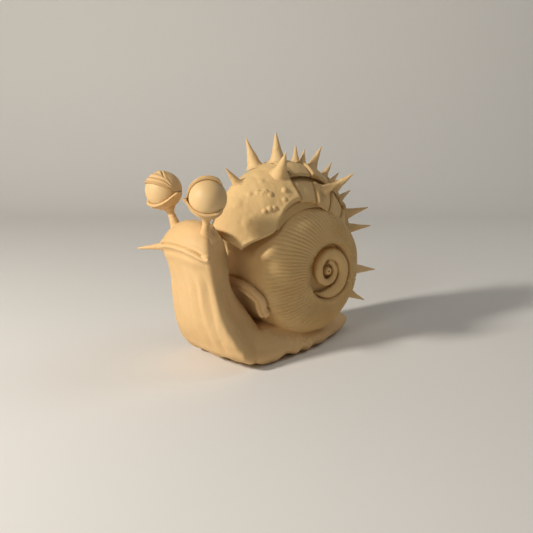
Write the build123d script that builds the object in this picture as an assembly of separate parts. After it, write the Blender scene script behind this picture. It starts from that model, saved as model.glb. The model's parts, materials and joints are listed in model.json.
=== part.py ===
from build123d import *
import math
import os

# A snail ornament, in millimetres. The snail faces -Y, its left side is +X and +Z is up.
# The origin is on the ground, in the middle of the sole.

# Foot: levels from the ground up, each with its reach ahead, its reach behind and its half width
SOLE_FRONT = 31.5
SOLE_BACK = 33.0
SOLE_HALF_WIDTH = 15.5
SKIRT_HEIGHT = 3.4
SKIRT_FRONT = 38.0
SKIRT_BACK = 37.0
SKIRT_HALF_WIDTH = 20.0
FLANK_HEIGHT = 7.2
FLANK_FRONT = 38.0
FLANK_BACK = 31.5
FLANK_HALF_WIDTH = 17.2
FOOT_TOP_HEIGHT = 12.5
FOOT_TOP_FRONT = 36.0
FOOT_TOP_BACK = 24.0
FOOT_TOP_HALF_WIDTH = 12.5
# Half of the foot's outline: share of its length from the front, share of its half width
FOOT_OUTLINE_SHARES = [
    (0.00, 0.00), (0.03, 0.50), (0.11, 0.88), (0.22, 1.00), (0.36, 0.98),
    (0.50, 0.90), (0.65, 0.75), (0.80, 0.56), (0.93, 0.30), (1.00, 0.00)]

# Neck and head: the crown's height, the mouth's reach ahead and its half width
HEAD_HEIGHT = 56.6
HEAD_REACH = 54.0
HEAD_HALF_WIDTH = 15.6
# One row for each level: share of the height, then shares of the reach at the front, at the side ridges and
# at the rear, then shares of the half width at the ridges and at the rear
NECK_SHARES = [
    (0.030, 0.660, 0.600, 0.260, 1.03, 0.77),
    (0.088, 0.765, 0.680, 0.300, 1.31, 0.77),
    (0.177, 0.830, 0.740, 0.345, 1.27, 0.74),
    (0.318, 0.889, 0.811, 0.420, 1.08, 0.67),
    (0.459, 0.917, 0.844, 0.520, 0.975, 0.61),
    (0.601, 0.937, 0.865, 0.583, 0.900, 0.58),
    (0.707, 0.963, 0.896, 0.560, 0.923, 0.36),
    (0.804, 1.000, 0.935, 0.615, 1.000, 0.38),
    (0.875, 0.996, 0.913, 0.690, 0.872, 0.44),
    (0.936, 0.963, 0.889, 0.745, 0.705, 0.51),
    (0.981, 0.917, 0.870, 0.760, 0.480, 0.38),
    (1.000, 0.885, 0.852, 0.796, 0.256, 0.224)]
# Where the outline between the front and the ridge bulges, and how far the flank behind the ridge draws in
BROW_WIDTH_SHARE = 0.55
BROW_DEPTH_SHARE = 0.12
CHEEK_WIDTH_SHARE = 0.88
CHEEK_DEPTH_SHARE = 0.62
FLANK_WIDTH_SHARE = 0.46
REAR_CORNER_SHARE = 0.12

# Eyes: place of the ball's centre, ball, lids and the peg that it turns on
EYE_SPREAD = 14.7
EYE_REACH = 49.2
EYE_HEIGHT = 67.0
EYEBALL_RADIUS = 6.8
LID_THICKNESS = 0.55
LID_RIM_RADIUS = 0.55
LID_CORNER_RADIUS = 1.5
LID_CORNER_TIP_RADIUS = 0.25
LID_CORNER_LENGTH = 2.4
LID_CLEARANCE = 0.1
LID_BACK_ANGLE = 178
EYE_PEG_RADIUS = 1.3
EYE_PEG_LENGTH = 4.5
EYE_PEG_CLEARANCE = 0.05
EYE_PEG_END_CLEARANCE = 0.4
EYE_SEAT_DEPTH = 0.45
EYE_SEAT_CLEARANCE = 0.1
# Which way each eye looks, turned from straight ahead towards the left, and how far its lids stand open
EYE_LEFT_TURN = 56
EYE_LEFT_UPPER_OPEN = 74
EYE_LEFT_LOWER_OPEN = 54
EYE_RIGHT_TURN = 6
EYE_RIGHT_UPPER_OPEN = 27
EYE_RIGHT_LOWER_OPEN = 42

# Eye stalks: foot on the head, waist and cup under the ball
STALK_SPREAD = 9.3
STALK_REACH = 46.8
STALK_HEIGHT = 52.4
STALK_FOOT_RADIUS = 3.3
STALK_WAIST_RADIUS = 1.7
STALK_CUP_RADIUS = 2.3
STALK_WAIST_SHARE = 0.5
STALK_PEG_RADIUS = 1.3
STALK_PEG_LENGTH = 4.0

# Feelers at the mouth corners
FEELER_SPREAD = 14.0
FEELER_REACH = 49.7
FEELER_BELOW_STALK = 6.8
FEELER_ROOT_RADIUS = 1.6
FEELER_TIP_RADIUS = 0.35
FEELER_LENGTH = 10.5
FEELER_TURN = 57
FEELER_DROOP = 8
FEELER_PEG_RADIUS = 0.8
FEELER_PEG_LENGTH = 3.0
FEELER_HEIGHT = STALK_HEIGHT - FEELER_BELOW_STALK

# Ribbed wheel of the shell, about an axis along X: its front and lowest point, its size, and the dished recess
# for the spire on each side
WHEEL_FRONT_REACH = 24.8
WHEEL_FLOOR = 5.9
WHEEL_RADIUS = 26.8
WHEEL_HALF_WIDTH = 20.0
WHEEL_SQUARENESS = 5.0
WHEEL_OUTLINE_STEPS = 8
SPIRE_BACK_OFFSET = 5.8
SPIRE_DROP = 0.1
RECESS_RADIUS = 11.8
RECESS_DEPTH = 4.6
WHEEL_REACH_BACK = WHEEL_RADIUS - WHEEL_FRONT_REACH
WHEEL_HEIGHT = WHEEL_RADIUS + WHEEL_FLOOR

# Spire: a coil ring and a knob on a thin disc, set in the recess
SPIRE_DISC_THICKNESS = 2.0
SPIRE_RING_RADIUS = 6.9
SPIRE_COIL_RADIUS = 2.4
SPIRE_KNOB_RADIUS = 1.7
SPIRE_KNOB_LENGTH = 2.8

# Armour: a hood and plates about their own axis along X, higher and further ahead than the wheel's, and how
# much larger and wider than the wheel they are
ARMOUR_ADVANCE = 3.5
ARMOUR_RISE = 9.9
ARMOUR_STANDOFF = 7.9
ARMOUR_OVERHANG = 1.0
PLATE_THICKNESS = 2.2
PLATE_DROP = 1.1
KEEL_RISE = 0.8
PLATE_GAP = 0.15
LIP_THICKNESS = 1.7
# Angles about the armour's axis, from the front over the top, and across it from the keel to the side
HOOD_FRONT_ANGLE = -4
HOOD_REAR_ANGLE = 79
PLATE_ANGLES = [79, 103, 127, 150, 178]
CORE_FRONT_ANGLE = 32
KEEL_SIDE_ANGLE = 31
SCUTE_SIDE_ANGLE = 36
RIM_SIDE_ANGLE = 80
SECTOR_STEPS = 6
ARMOUR_REACH = ARMOUR_ADVANCE - WHEEL_REACH_BACK
ARMOUR_HEIGHT = WHEEL_HEIGHT + ARMOUR_RISE
ARMOUR_RADIUS = WHEEL_RADIUS + ARMOUR_STANDOFF
ARMOUR_HALF_WIDTH = WHEEL_HALF_WIDTH + ARMOUR_OVERHANG
# Arched openings in both sides of the armour that show the wheel's flanks, down to a floor inside each
ARCH_ADVANCE = 7.0
ARCH_RISE = 4.0
ARCH_INSET = 0.8
ARCH_FRONT_SETBACK = 4.8
ARCH_FRONT_RISE = 12.3
ARCH_FRONT_INSET = 0.3
ARCH_DEPTH = 6.0
ARCH_REACH = ARCH_ADVANCE - WHEEL_REACH_BACK
ARCH_HEIGHT = WHEEL_HEIGHT + ARCH_RISE
ARCH_RADIUS = WHEEL_RADIUS - ARCH_INSET
ARCH_FRONT_REACH = WHEEL_FRONT_REACH - ARCH_FRONT_SETBACK
ARCH_FRONT_HEIGHT = WHEEL_HEIGHT + ARCH_FRONT_RISE
ARCH_FRONT_RADIUS = WHEEL_RADIUS - ARCH_FRONT_INSET
ARCH_FLOOR = WHEEL_HALF_WIDTH - ARCH_DEPTH
# Lip of the hood: a round doorway over the neck, and a sloping trim under both corners
DOOR_BELOW_CROWN = 23.2
DOOR_RADIUS = 16.0
CORNER_SETBACK = 4.8
CORNER_BELOW_CROWN = 11.2
CORNER_SLOPE = 27.5
DOOR_HEIGHT = HEAD_HEIGHT - DOOR_BELOW_CROWN
CORNER_REACH = ARMOUR_REACH + ARMOUR_RADIUS - CORNER_SETBACK
CORNER_HEIGHT = HEAD_HEIGHT - CORNER_BELOW_CROWN

# Spikes: cones on a flat seat, with a peg through the plate
SPIKE_TIP_RADIUS = 0.25
SPIKE_PEG_RADIUS = 0.9
SPIKE_PEG_LENGTH = 4.0
SPIKE_SEAT_DEPTH = 0.6
SMALL_SPIKE_RADIUS = 2.0
SMALL_SPIKE_LENGTH = 8.0
SPIKE_RADIUS = 2.3
SPIKE_LENGTH = 9.5
LARGE_SPIKE_RADIUS = 3.2
LARGE_SPIKE_LENGTH = 11.6
SPIKE_SIZES = {
    "small": (SMALL_SPIKE_RADIUS, SMALL_SPIKE_LENGTH),
    "medium": (SPIKE_RADIUS, SPIKE_LENGTH),
    "large": (LARGE_SPIKE_RADIUS, LARGE_SPIKE_LENGTH)}
# On the hood: angle about the armour's axis and side angle, size, and how far it stands up from square
HOOD_SPIKES = [
    ("front", 50, -4, "small", 0), ("right", 72, -14, "large", 0.6), ("left", 73, 25, "large", 0)]
# Down the middle: row of the keel plate, angle about the armour's axis, side angle and size
KEEL_SPIKES = [
    (1, 85.5, 0, "large"), (2, 107.5, -10, "small"), (2, 115, -11, "small"), (2, 116, 4, "medium"),
    (3, 131.5, 0, "small"), (3, 140, 0, "small"), (4, 154.5, 0, "medium")]
# Down both sides: plate, angle about the armour's axis, side angle and size
SIDE_SPIKES = [
    ("scute", 2, 116, 42, "medium"), ("keel", 3, 135, 22, "medium"),
    ("keel", 4, 161, 22, "medium"), ("keel", 4, 173, 22, "medium")]
# On the back of the wheel: angle about its axis, share of its half width and size
WHEEL_SPIKES = [(186, 0.72, "medium"), (210, 0.72, "small")]

# Mantle collar: a roll that hugs the front of the wheel, with its two ends hanging down beside the neck
COLLAR_RADIUS = 2.0
COLLAR_STANDOFF = 0.6
COLLAR_HALF_WIDTH = 13.4
COLLAR_TOP_ANGLE = -6
COLLAR_BEND_ANGLE = -13
COLLAR_END_ANGLE = -31
COLLAR_TOP_WIDTH_SHARE = 0.5
COLLAR_BEND_RADIUS = 5.0

# Locating pins between the foot, the wheel and the outer whorl
PIN_RADIUS = 1.5
PIN_SPACING = 14.0
PIN_FLOOR = 1.6
PIN_DEPTH = 9.0
PIN_CLEARANCE = 0.1

# Gap between glued pieces, and how far a cut runs past a face
GLUE_GAP = 0.15
OVERRUN = 30.0

WHEEL_CENTER = (0, WHEEL_REACH_BACK, WHEEL_HEIGHT)
ARMOUR_CENTER = (0, -ARMOUR_REACH, ARMOUR_HEIGHT)
FULL_TURN = 360
SIDES = {"left": 1, "right": -1}
CORE_RADIUS = ARMOUR_RADIUS - PLATE_DROP - PLATE_THICKNESS
CORE_HALF_WIDTH = ARMOUR_HALF_WIDTH - PLATE_DROP - PLATE_THICKNESS
SEAT_ON_BASE = (Align.CENTER, Align.CENTER, Align.MIN)


def polar_plane(center, angle):
    """Half-plane through a shell axis: local x runs outward and local y to the snail's left."""
    turn = math.radians(angle)
    outward = (0, -math.cos(turn), math.sin(turn))
    return Plane(origin=center, x_dir=outward, z_dir=(0, math.sin(turn), math.cos(turn)))


def turned(face, center, first_angle, last_angle):
    """Solid swept by a face about a shell axis, from one angle over the top to another."""
    placed = polar_plane(center, first_angle) * face
    return revolve(placed, Axis(center, (-1, 0, 0)), last_angle - first_angle)


def closed_outline(half_points, height):
    """Face at a height inside a smooth outline, mirrored from its left half, front to rear."""
    left = [(x, y, height) for x, y in half_points]
    right = [(-x, y, height) for x, y in reversed(half_points[1:-1])]
    return make_face(Spline(*left, *right, periodic=True))


def drill(origin, direction, radius, depth):
    """Round cutter from a seat into a piece."""
    return Plane(origin=origin, z_dir=direction) * Cylinder(radius, depth, align=SEAT_ON_BASE)


def sink(origin, direction, radius):
    """Round cutter from a seat out past a piece's surface."""
    return drill(origin, direction, radius + GLUE_GAP, OVERRUN)


def make_foot():
    levels = [
        (0, SOLE_FRONT, SOLE_BACK, SOLE_HALF_WIDTH),
        (SKIRT_HEIGHT, SKIRT_FRONT, SKIRT_BACK, SKIRT_HALF_WIDTH),
        (FLANK_HEIGHT, FLANK_FRONT, FLANK_BACK, FLANK_HALF_WIDTH),
        (FOOT_TOP_HEIGHT, FOOT_TOP_FRONT, FOOT_TOP_BACK, FOOT_TOP_HALF_WIDTH)]
    outlines = []
    for height, front, back, half_width in levels:
        points = []
        for along, across in FOOT_OUTLINE_SHARES:
            points.append((half_width * across, (front + back) * along - front))
        outlines.append(closed_outline(points, height))
    return loft(outlines)


def make_neck():
    outlines = []
    for height, front, ridge, rear, width, rear_width in NECK_SHARES:
        tip = HEAD_REACH * front
        edge = HEAD_REACH * ridge
        nape = HEAD_REACH * rear
        half = HEAD_HALF_WIDTH * width
        nape_half = HEAD_HALF_WIDTH * rear_width
        points = [
            (0, -tip),
            (half * BROW_WIDTH_SHARE, -tip + (tip - edge) * BROW_DEPTH_SHARE),
            (half * CHEEK_WIDTH_SHARE, -tip + (tip - edge) * CHEEK_DEPTH_SHARE),
            (half, -edge),
            ((half + nape_half) * FLANK_WIDTH_SHARE, -(edge + nape) / 2),
            (nape_half, -nape - (edge - nape) * REAR_CORNER_SHARE),
            (0, -nape)]
        outlines.append(closed_outline(points, HEAD_HEIGHT * height))
    return loft(outlines)


def make_wheel(grow):
    """Thick wheel with a square-shouldered rim, grown all round by a clearance."""
    rim = []
    for step in range(-WHEEL_OUTLINE_STEPS, WHEEL_OUTLINE_STEPS + 1):
        angle = math.radians(90 * step / WHEEL_OUTLINE_STEPS)
        out = abs(math.cos(angle)) ** (2 / WHEEL_SQUARENESS)
        aside = math.copysign(abs(math.sin(angle)) ** (2 / WHEEL_SQUARENESS), step)
        rim.append(((WHEEL_RADIUS + grow) * out, (WHEEL_HALF_WIDTH + grow) * aside))
    rim[0] = (0, -WHEEL_HALF_WIDTH - grow)
    rim[-1] = (0, WHEEL_HALF_WIDTH + grow)
    profile = make_face([Spline(*rim), Line(rim[-1], rim[0])])
    return turned(profile, WHEEL_CENTER, 0, FULL_TURN)


def spire_seat(side):
    """Place on the floor of a recess, facing outward from the wheel."""
    floor = side * (WHEEL_HALF_WIDTH - RECESS_DEPTH)
    spot = (floor, WHEEL_REACH_BACK + SPIRE_BACK_OFFSET, WHEEL_HEIGHT - SPIRE_DROP)
    return Plane(origin=spot, z_dir=(side, 0, 0))


def make_spire(side):
    disc = Cylinder(RECESS_RADIUS - GLUE_GAP, SPIRE_DISC_THICKNESS, align=SEAT_ON_BASE)
    ring = Pos(0, 0, SPIRE_COIL_RADIUS + GLUE_GAP) * Torus(SPIRE_RING_RADIUS, SPIRE_COIL_RADIUS)
    knob = Cylinder(SPIRE_KNOB_RADIUS, SPIRE_KNOB_LENGTH, align=SEAT_ON_BASE)
    crown = Pos(0, 0, SPIRE_KNOB_LENGTH) * Sphere(SPIRE_KNOB_RADIUS)
    return spire_seat(side) * (disc + ring + knob + crown)


def side_sector(first_angle, last_angle):
    """Wedge of a section between two side angles, wide enough to cut the armour's section."""
    fan = []
    for step in range(SECTOR_STEPS + 1):
        angle = math.radians(first_angle + (last_angle - first_angle) * step / SECTOR_STEPS)
        fan.append((2 * ARMOUR_RADIUS * math.cos(angle), 2 * ARMOUR_HALF_WIDTH * math.sin(angle)))
    return make_face(Polyline((0, 0), *fan, close=True))


def armour_section(lift, first_angle, last_angle):
    """Slice of the armour's arched section, its outer face lifted from the plates' own."""
    drop = PLATE_DROP - lift
    outer = Ellipse(ARMOUR_RADIUS - drop, ARMOUR_HALF_WIDTH - drop)
    inner = Ellipse(CORE_RADIUS, CORE_HALF_WIDTH)
    return (outer - inner) & side_sector(first_angle, last_angle)


def arch_cut():
    """Arched openings in both sides of the armour: a round top with a tighter round front."""
    arches = []
    for side in SIDES.values():
        middle = (side * ARCH_FLOOR, -ARCH_REACH, ARCH_HEIGHT)
        front = (side * ARCH_FLOOR, ARCH_FRONT_RADIUS - ARCH_FRONT_REACH, ARCH_FRONT_HEIGHT)
        round_top = drill(middle, (side, 0, 0), ARCH_RADIUS, OVERRUN)
        arches.append(round_top & drill(front, (side, 0, 0), ARCH_FRONT_RADIUS, OVERRUN))
    return arches[0] + arches[1]


def plate_angles(index):
    """First and last angle of a row of plates, with a gap to the next row."""
    gap = math.degrees(PLATE_GAP / ARMOUR_RADIUS)
    return PLATE_ANGLES[index] + gap, PLATE_ANGLES[index + 1]


def doorway():
    """Cutter under the hood's lip: a round doorway along the neck and a sloping slab under both corners."""
    size = 2 * (ARMOUR_RADIUS + OVERRUN)
    tunnel = drill((0, -ARMOUR_REACH, DOOR_HEIGHT), (0, -1, 0), DOOR_RADIUS, size)
    slab = Box(size, size, size, align=(Align.CENTER, Align.CENTER, Align.MAX))
    return tunnel + Pos(0, -CORNER_REACH, CORNER_HEIGHT) * Rot(X=CORNER_SLOPE) * slab


def make_hood():
    section = armour_section(PLATE_DROP, -RIM_SIDE_ANGLE, RIM_SIDE_ANGLE)
    hood = turned(section, ARMOUR_CENTER, HOOD_FRONT_ANGLE, HOOD_REAR_ANGLE)
    mouth = Ellipse(ARMOUR_RADIUS - LIP_THICKNESS, ARMOUR_HALF_WIDTH - LIP_THICKNESS)
    mouth = mouth & side_sector(-RIM_SIDE_ANGLE, RIM_SIDE_ANGLE)
    hood = hood - turned(mouth, ARMOUR_CENTER, HOOD_FRONT_ANGLE, CORE_FRONT_ANGLE)
    return hood - arch_cut() - doorway() - make_wheel(GLUE_GAP)


def make_plate(lift, index, first_side, last_side):
    section = armour_section(lift, first_side, last_side)
    first_angle, last_angle = plate_angles(index)
    plate = turned(section, ARMOUR_CENTER, first_angle, last_angle)
    return plate - arch_cut() - make_wheel(GLUE_GAP)


def make_outer_whorl():
    section = Ellipse(CORE_RADIUS - GLUE_GAP, CORE_HALF_WIDTH - GLUE_GAP)
    section = section & side_sector(-RIM_SIDE_ANGLE, RIM_SIDE_ANGLE)
    whorl = turned(section, ARMOUR_CENTER, CORE_FRONT_ANGLE, PLATE_ANGLES[-1])
    return whorl - arch_cut() - make_wheel(GLUE_GAP)


def armour_spot(angle, side_angle, lift):
    """Point on the armour's outer face and the direction square to it."""
    radius = ARMOUR_RADIUS - PLATE_DROP + lift
    half_width = ARMOUR_HALF_WIDTH - PLATE_DROP + lift
    turn = math.radians(angle)
    across = math.radians(side_angle)
    ahead = Vector(0, -math.cos(turn), math.sin(turn))
    aside = Vector(1, 0, 0)
    spot = Vector(*ARMOUR_CENTER) + ahead * radius * math.cos(across) + aside * half_width * math.sin(across)
    square = ahead * math.cos(across) / radius + aside * math.sin(across) / half_width
    return spot, square.normalized()


def wheel_spot(angle, side_share):
    """Point on the wheel's rim at a share of its half width, and the direction square to it."""
    turn = math.radians(angle)
    ahead = Vector(0, -math.cos(turn), math.sin(turn))
    out_share = (1 - abs(side_share) ** WHEEL_SQUARENESS) ** (1 / WHEEL_SQUARENESS)
    spot = Vector(*WHEEL_CENTER) + ahead * WHEEL_RADIUS * out_share
    spot = spot + Vector(WHEEL_HALF_WIDTH * side_share, 0, 0)
    slope = math.copysign(abs(side_share) ** (WHEEL_SQUARENESS - 1), side_share) / WHEEL_HALF_WIDTH
    square = ahead * (out_share ** (WHEEL_SQUARENESS - 1) / WHEEL_RADIUS) + Vector(slope, 0, 0)
    return spot, square.normalized()


def make_spike(spot, square, radius, length):
    seat = Plane(origin=spot - square * SPIKE_SEAT_DEPTH, z_dir=square)
    cone = Cone(radius, SPIKE_TIP_RADIUS, length + SPIKE_SEAT_DEPTH, align=SEAT_ON_BASE)
    peg = Pos(0, 0, -SPIKE_PEG_LENGTH) * Cylinder(SPIKE_PEG_RADIUS, SPIKE_PEG_LENGTH, align=SEAT_ON_BASE)
    return seat * (cone + peg)


def spike_cutter(spot, square, radius):
    """Flat seat and peg hole for a spike."""
    seat = spot - square * SPIKE_SEAT_DEPTH
    hole_depth = SPIKE_PEG_LENGTH + GLUE_GAP
    hole = drill(seat, -square, SPIKE_PEG_RADIUS + GLUE_GAP, hole_depth)
    return sink(seat, square, radius) + hole


def eye_center(side):
    return Vector(side * EYE_SPREAD, -EYE_REACH, EYE_HEIGHT)


def stalk_foot(side):
    return Vector(side * STALK_SPREAD, -STALK_REACH, STALK_HEIGHT)


def stalk_direction(side):
    return (eye_center(side) - stalk_foot(side)).normalized()


def make_stalk(side):
    reach = (eye_center(side) - stalk_foot(side)).length
    length = reach - EYEBALL_RADIUS + EYE_SEAT_DEPTH - EYE_SEAT_CLEARANCE
    waist = length * STALK_WAIST_SHARE
    skin = Spline((STALK_FOOT_RADIUS, 0), (STALK_WAIST_RADIUS, waist), (STALK_CUP_RADIUS, length))
    outline = Polyline((STALK_CUP_RADIUS, length), (0, length), (0, 0), (STALK_FOOT_RADIUS, 0))
    profile = Plane.XZ * make_face([skin, outline])
    stem = revolve(profile, Axis.Z, FULL_TURN)
    root = Pos(0, 0, -STALK_PEG_LENGTH) * Cylinder(STALK_PEG_RADIUS, STALK_PEG_LENGTH, align=SEAT_ON_BASE)
    pivot = Pos(0, 0, length) * Cylinder(EYE_PEG_RADIUS, EYE_PEG_LENGTH, align=SEAT_ON_BASE)
    return Plane(origin=stalk_foot(side), z_dir=stalk_direction(side)) * (stem + root + pivot)


def make_eyeball(side):
    """Ball with a flat over the stalk's cup and a blind bore for the peg, both square to the stalk."""
    seat = Pos(0, 0, EYE_SEAT_DEPTH - EYEBALL_RADIUS)
    bore_depth = EYE_PEG_LENGTH + EYE_PEG_END_CLEARANCE
    bore = seat * Cylinder(EYE_PEG_RADIUS + EYE_PEG_CLEARANCE, bore_depth, align=SEAT_ON_BASE)
    flat = seat * Cylinder(EYEBALL_RADIUS, EYEBALL_RADIUS, align=(Align.CENTER, Align.CENTER, Align.MAX))
    ball = Sphere(EYEBALL_RADIUS) - flat - bore
    return Plane(origin=eye_center(side), z_dir=stalk_direction(side)) * ball


def eye_plane(side, turn):
    """Frame at an eye: local x runs from corner to corner, the eye looks along local -y, local z is up."""
    angle = math.radians(turn)
    return Plane(origin=eye_center(side), x_dir=(math.cos(angle), math.sin(angle), 0), z_dir=(0, 0, 1))


def lid_shell(open_angle, back_angle):
    """Peel of a hollow ball about the line through both eye corners, with a rolled rim at its front edge."""
    inner = EYEBALL_RADIUS + LID_CLEARANCE
    outer = inner + LID_THICKNESS
    half_disc = make_face([CenterArc((0, 0), outer, 0, 180), Line((-outer, 0), (outer, 0))])
    look = Plane(origin=(0, 0, 0), x_dir=(1, 0, 0), z_dir=(0, 0, -1))
    front = Rot(X=-open_angle) * (look * half_disc)
    wedge = revolve(front, Axis((0, 0, 0), (-1, 0, 0)), back_angle - open_angle)
    front_half = Pos(0, -outer, 0) * Box(4 * outer, 2 * outer, 2 * outer)
    rim = Torus((inner + outer) / 2, LID_RIM_RADIUS) & front_half
    return wedge + Rot(X=-open_angle) * rim - Sphere(inner)


def lid_corners(grow):
    """Pointed corners at both ends of the opening."""
    start = EYEBALL_RADIUS + LID_CLEARANCE
    root_radius = LID_CORNER_RADIUS + grow
    tip_radius = LID_CORNER_TIP_RADIUS + grow
    cone = Cone(root_radius, tip_radius, LID_CORNER_LENGTH, align=SEAT_ON_BASE)
    corner = Pos(0, 0, start - LID_THICKNESS / 2) * cone
    return Rot(Y=90) * corner + Rot(Y=-90) * corner


def stalk_opening(side):
    """Round way through a lower lid for the stalk's cup."""
    reach = EYEBALL_RADIUS + OVERRUN
    return drill(eye_center(side), -stalk_direction(side), STALK_CUP_RADIUS + 2 * EYE_SEAT_CLEARANCE, reach)


def make_lids(side, turn, upper_open, lower_open):
    frame = eye_plane(side, turn)
    corners = lid_corners(0) - Sphere(EYEBALL_RADIUS + LID_CLEARANCE)
    lower = mirror(lid_shell(lower_open, LID_BACK_ANGLE), Plane.XY) + corners
    upper = lid_shell(upper_open, LID_BACK_ANGLE) - lid_corners(LID_CLEARANCE)
    return frame * upper, frame * lower - stalk_opening(side)


def feeler_root(side):
    return Vector(side * FEELER_SPREAD, -FEELER_REACH, FEELER_HEIGHT)


def feeler_direction(side):
    turn = math.radians(FEELER_TURN)
    droop = math.radians(FEELER_DROOP)
    level = math.cos(droop)
    return Vector(side * math.sin(turn) * level, -math.cos(turn) * level, -math.sin(droop))


def make_feeler(side):
    cone = Cone(FEELER_ROOT_RADIUS, FEELER_TIP_RADIUS, FEELER_LENGTH, align=SEAT_ON_BASE)
    tip = Pos(0, 0, FEELER_LENGTH) * Sphere(FEELER_TIP_RADIUS)
    peg = Pos(0, 0, -FEELER_PEG_LENGTH) * Cylinder(FEELER_PEG_RADIUS, FEELER_PEG_LENGTH, align=SEAT_ON_BASE)
    return Plane(origin=feeler_root(side), z_dir=feeler_direction(side)) * (cone + tip + peg)


def make_collar(grow):
    """Roll along straight runs and arcs, laid against the front of the wheel, grown by a clearance."""
    stops = [
        (1, COLLAR_END_ANGLE), (1, COLLAR_BEND_ANGLE), (COLLAR_TOP_WIDTH_SHARE, COLLAR_TOP_ANGLE),
        (-COLLAR_TOP_WIDTH_SHARE, COLLAR_TOP_ANGLE), (-1, COLLAR_BEND_ANGLE), (-1, COLLAR_END_ANGLE)]
    points = []
    for width_share, angle in stops:
        side_share = width_share * COLLAR_HALF_WIDTH / WHEEL_HALF_WIDTH
        spot, square = wheel_spot(angle, side_share)
        points.append(spot + square * (COLLAR_RADIUS + COLLAR_STANDOFF))
    path = FilletPolyline(*points, radius=COLLAR_BEND_RADIUS)
    start = Plane(origin=points[0], z_dir=points[1] - points[0])
    radius = COLLAR_RADIUS + grow
    roll = sweep(start * Circle(radius), path)
    ends = Pos(points[0]) * Sphere(radius) + Pos(points[-1]) * Sphere(radius)
    return roll + ends


def pin_places():
    """Foot of each pin and its length: two under the wheel and one between the wheel and the outer whorl."""
    places = []
    for offset in (-PIN_SPACING / 2, PIN_SPACING / 2):
        top = WHEEL_HEIGHT - math.sqrt(WHEEL_RADIUS ** 2 - offset ** 2) + PIN_DEPTH
        places.append(((0, WHEEL_REACH_BACK + offset, PIN_FLOOR), top - PIN_FLOOR))
    crest = WHEEL_HEIGHT + WHEEL_RADIUS - PIN_DEPTH
    places.append(((0, WHEEL_REACH_BACK, crest), 2 * PIN_DEPTH))
    return places


def make_pins(clearance):
    pins = []
    for foot, length in pin_places():
        base = Vector(*foot) - Vector(0, 0, clearance)
        pins.append(drill(base, (0, 0, 1), PIN_RADIUS + clearance, length + 2 * clearance))
    return pins


def spike_rows():
    """Name, carrying piece, place, radius and length of every spike."""
    rows = []

    def on_armour(name, plate, angle, side_angle, lift, size, upright_share):
        spot, square = armour_spot(angle, side_angle, lift)
        stand = (square + Vector(0, 0, upright_share)).normalized()
        rows.append((name, plate, spot, stand, *SPIKE_SIZES[size]))

    for name, angle, side_angle, size, upright_share in HOOD_SPIKES:
        on_armour(f"hood_spike_{name}", "hood", angle, side_angle, PLATE_DROP, size, upright_share)
    for count, (row, angle, side_angle, size) in enumerate(KEEL_SPIKES, start=1):
        on_armour(f"keel_spike_{count}", f"keel_plate_{row}", angle, side_angle, KEEL_RISE, size, 0)
    for name, side in SIDES.items():
        for count, (kind, row, angle, side_angle, size) in enumerate(SIDE_SPIKES, start=1):
            plate = f"keel_plate_{row}" if kind == "keel" else f"scute_{name}_{row}"
            lift = KEEL_RISE if kind == "keel" else 0
            on_armour(f"{name}_spike_{count}", plate, angle, side * side_angle, lift, size, 0)
        for count, (angle, side_share, size) in enumerate(WHEEL_SPIKES, start=len(SIDE_SPIKES) + 1):
            spot, square = wheel_spot(angle, side * side_share)
            rows.append((f"{name}_spike_{count}", "shell_wheel", spot, square, *SPIKE_SIZES[size]))
    return rows


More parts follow.
